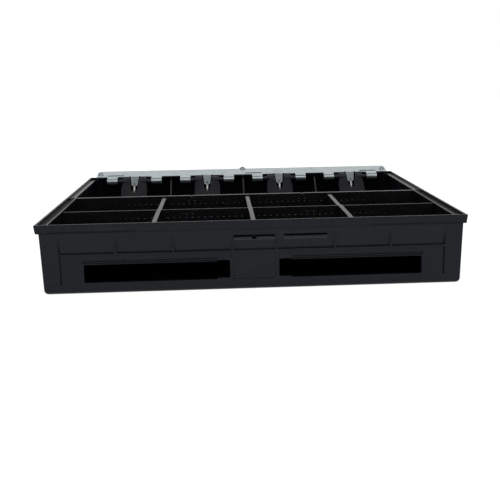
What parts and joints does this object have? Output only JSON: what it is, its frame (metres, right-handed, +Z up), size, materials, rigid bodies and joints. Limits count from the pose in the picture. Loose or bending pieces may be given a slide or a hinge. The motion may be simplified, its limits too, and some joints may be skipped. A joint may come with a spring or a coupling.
{
  "type": "cash drawer insert",
  "caption": "Moulded cash drawer insert: lift-out coin tray in front, open bill compartments behind, and a sloping steel plate carrying sprung hold-down clips.",
  "frame": {"origin": "centre of the base, on the surface it rests on", "axes": "+X to the right along the front edge, +Y from the front edge to the clips, +Z up"},
  "size_m": [0.3808, 0.346, 0.0734],
  "materials": {
    "tray_plastic": "fine satin texture, near black",
    "coin_plastic": "satin, near black",
    "clip_plastic": "satin, near black",
    "plate_steel": "dull zinc plating",
    "screw_steel": "bright zinc plating",
    "spring_steel": "bright wire"
  },
  "bodies": {
    "tray": {"tray_floor": "tray_plastic", "tray_front": "tray_plastic", "tray_side_left": "tray_plastic", "tray_side_right": "tray_plastic", "tray_rear": "tray_plastic", "coin_bill_wall": "tray_plastic", "bill_divider_1": "tray_plastic", "bill_divider_2": "tray_plastic", "bill_divider_3": "tray_plastic", "clip_plate": "plate_steel", "plate_screws": "screw_steel", "clip_spring_1": "spring_steel", "clip_spring_2": "spring_steel", "clip_spring_3": "spring_steel", "clip_spring_4": "spring_steel"},
    "coin_insert": {"coin_tray": "coin_plastic", "coin_rear_ribs": "coin_plastic", "coin_column_1": "coin_plastic", "coin_column_2": "coin_plastic", "coin_column_3": "coin_plastic"},
    "row_divider": {"coin_row_divider": "coin_plastic"},
    "clip_1": {"bill_clip_1": "clip_plastic"},
    "clip_2": {"bill_clip_2": "clip_plastic"},
    "clip_3": {"bill_clip_3": "clip_plastic"},
    "clip_4": {"bill_clip_4": "clip_plastic"}
  },
  "joints": [
    {"name": "coin_tray_lift", "type": "slide", "parent": "tray", "child": "coin_insert", "axis": [0, 0, 1], "range_m": [0, 0.05]},
    {"name": "row_divider_lift", "type": "slide", "parent": "coin_insert", "child": "row_divider", "axis": [0, 0, 1], "range_m": [0, 0.025]},
    {"name": "clip_1_hinge", "type": "hinge", "parent": "tray", "child": "clip_1", "pos_m": [-0.132, 0.1362, 0.0611], "axis": [-1, 0, 0], "range_deg": [0, 110], "stiffness_Nm_per_rad": 0.02, "springref_deg": -34.38, "deforming": ["clip_spring_1"]},
    {"name": "clip_2_hinge", "type": "hinge", "parent": "tray", "child": "clip_2", "pos_m": [-0.044, 0.1362, 0.0611], "axis": [-1, 0, 0], "range_deg": [0, 110], "stiffness_Nm_per_rad": 0.02, "springref_deg": -34.38, "deforming": ["clip_spring_2"]},
    {"name": "clip_3_hinge", "type": "hinge", "parent": "tray", "child": "clip_3", "pos_m": [0.044, 0.1362, 0.0611], "axis": [-1, 0, 0], "range_deg": [0, 110], "stiffness_Nm_per_rad": 0.02, "springref_deg": -34.38, "deforming": ["clip_spring_3"]},
    {"name": "clip_4_hinge", "type": "hinge", "parent": "tray", "child": "clip_4", "pos_m": [0.132, 0.1362, 0.0611], "axis": [-1, 0, 0], "range_deg": [0, 110], "stiffness_Nm_per_rad": 0.02, "springref_deg": -34.38, "deforming": ["clip_spring_4"]}
  ]
}
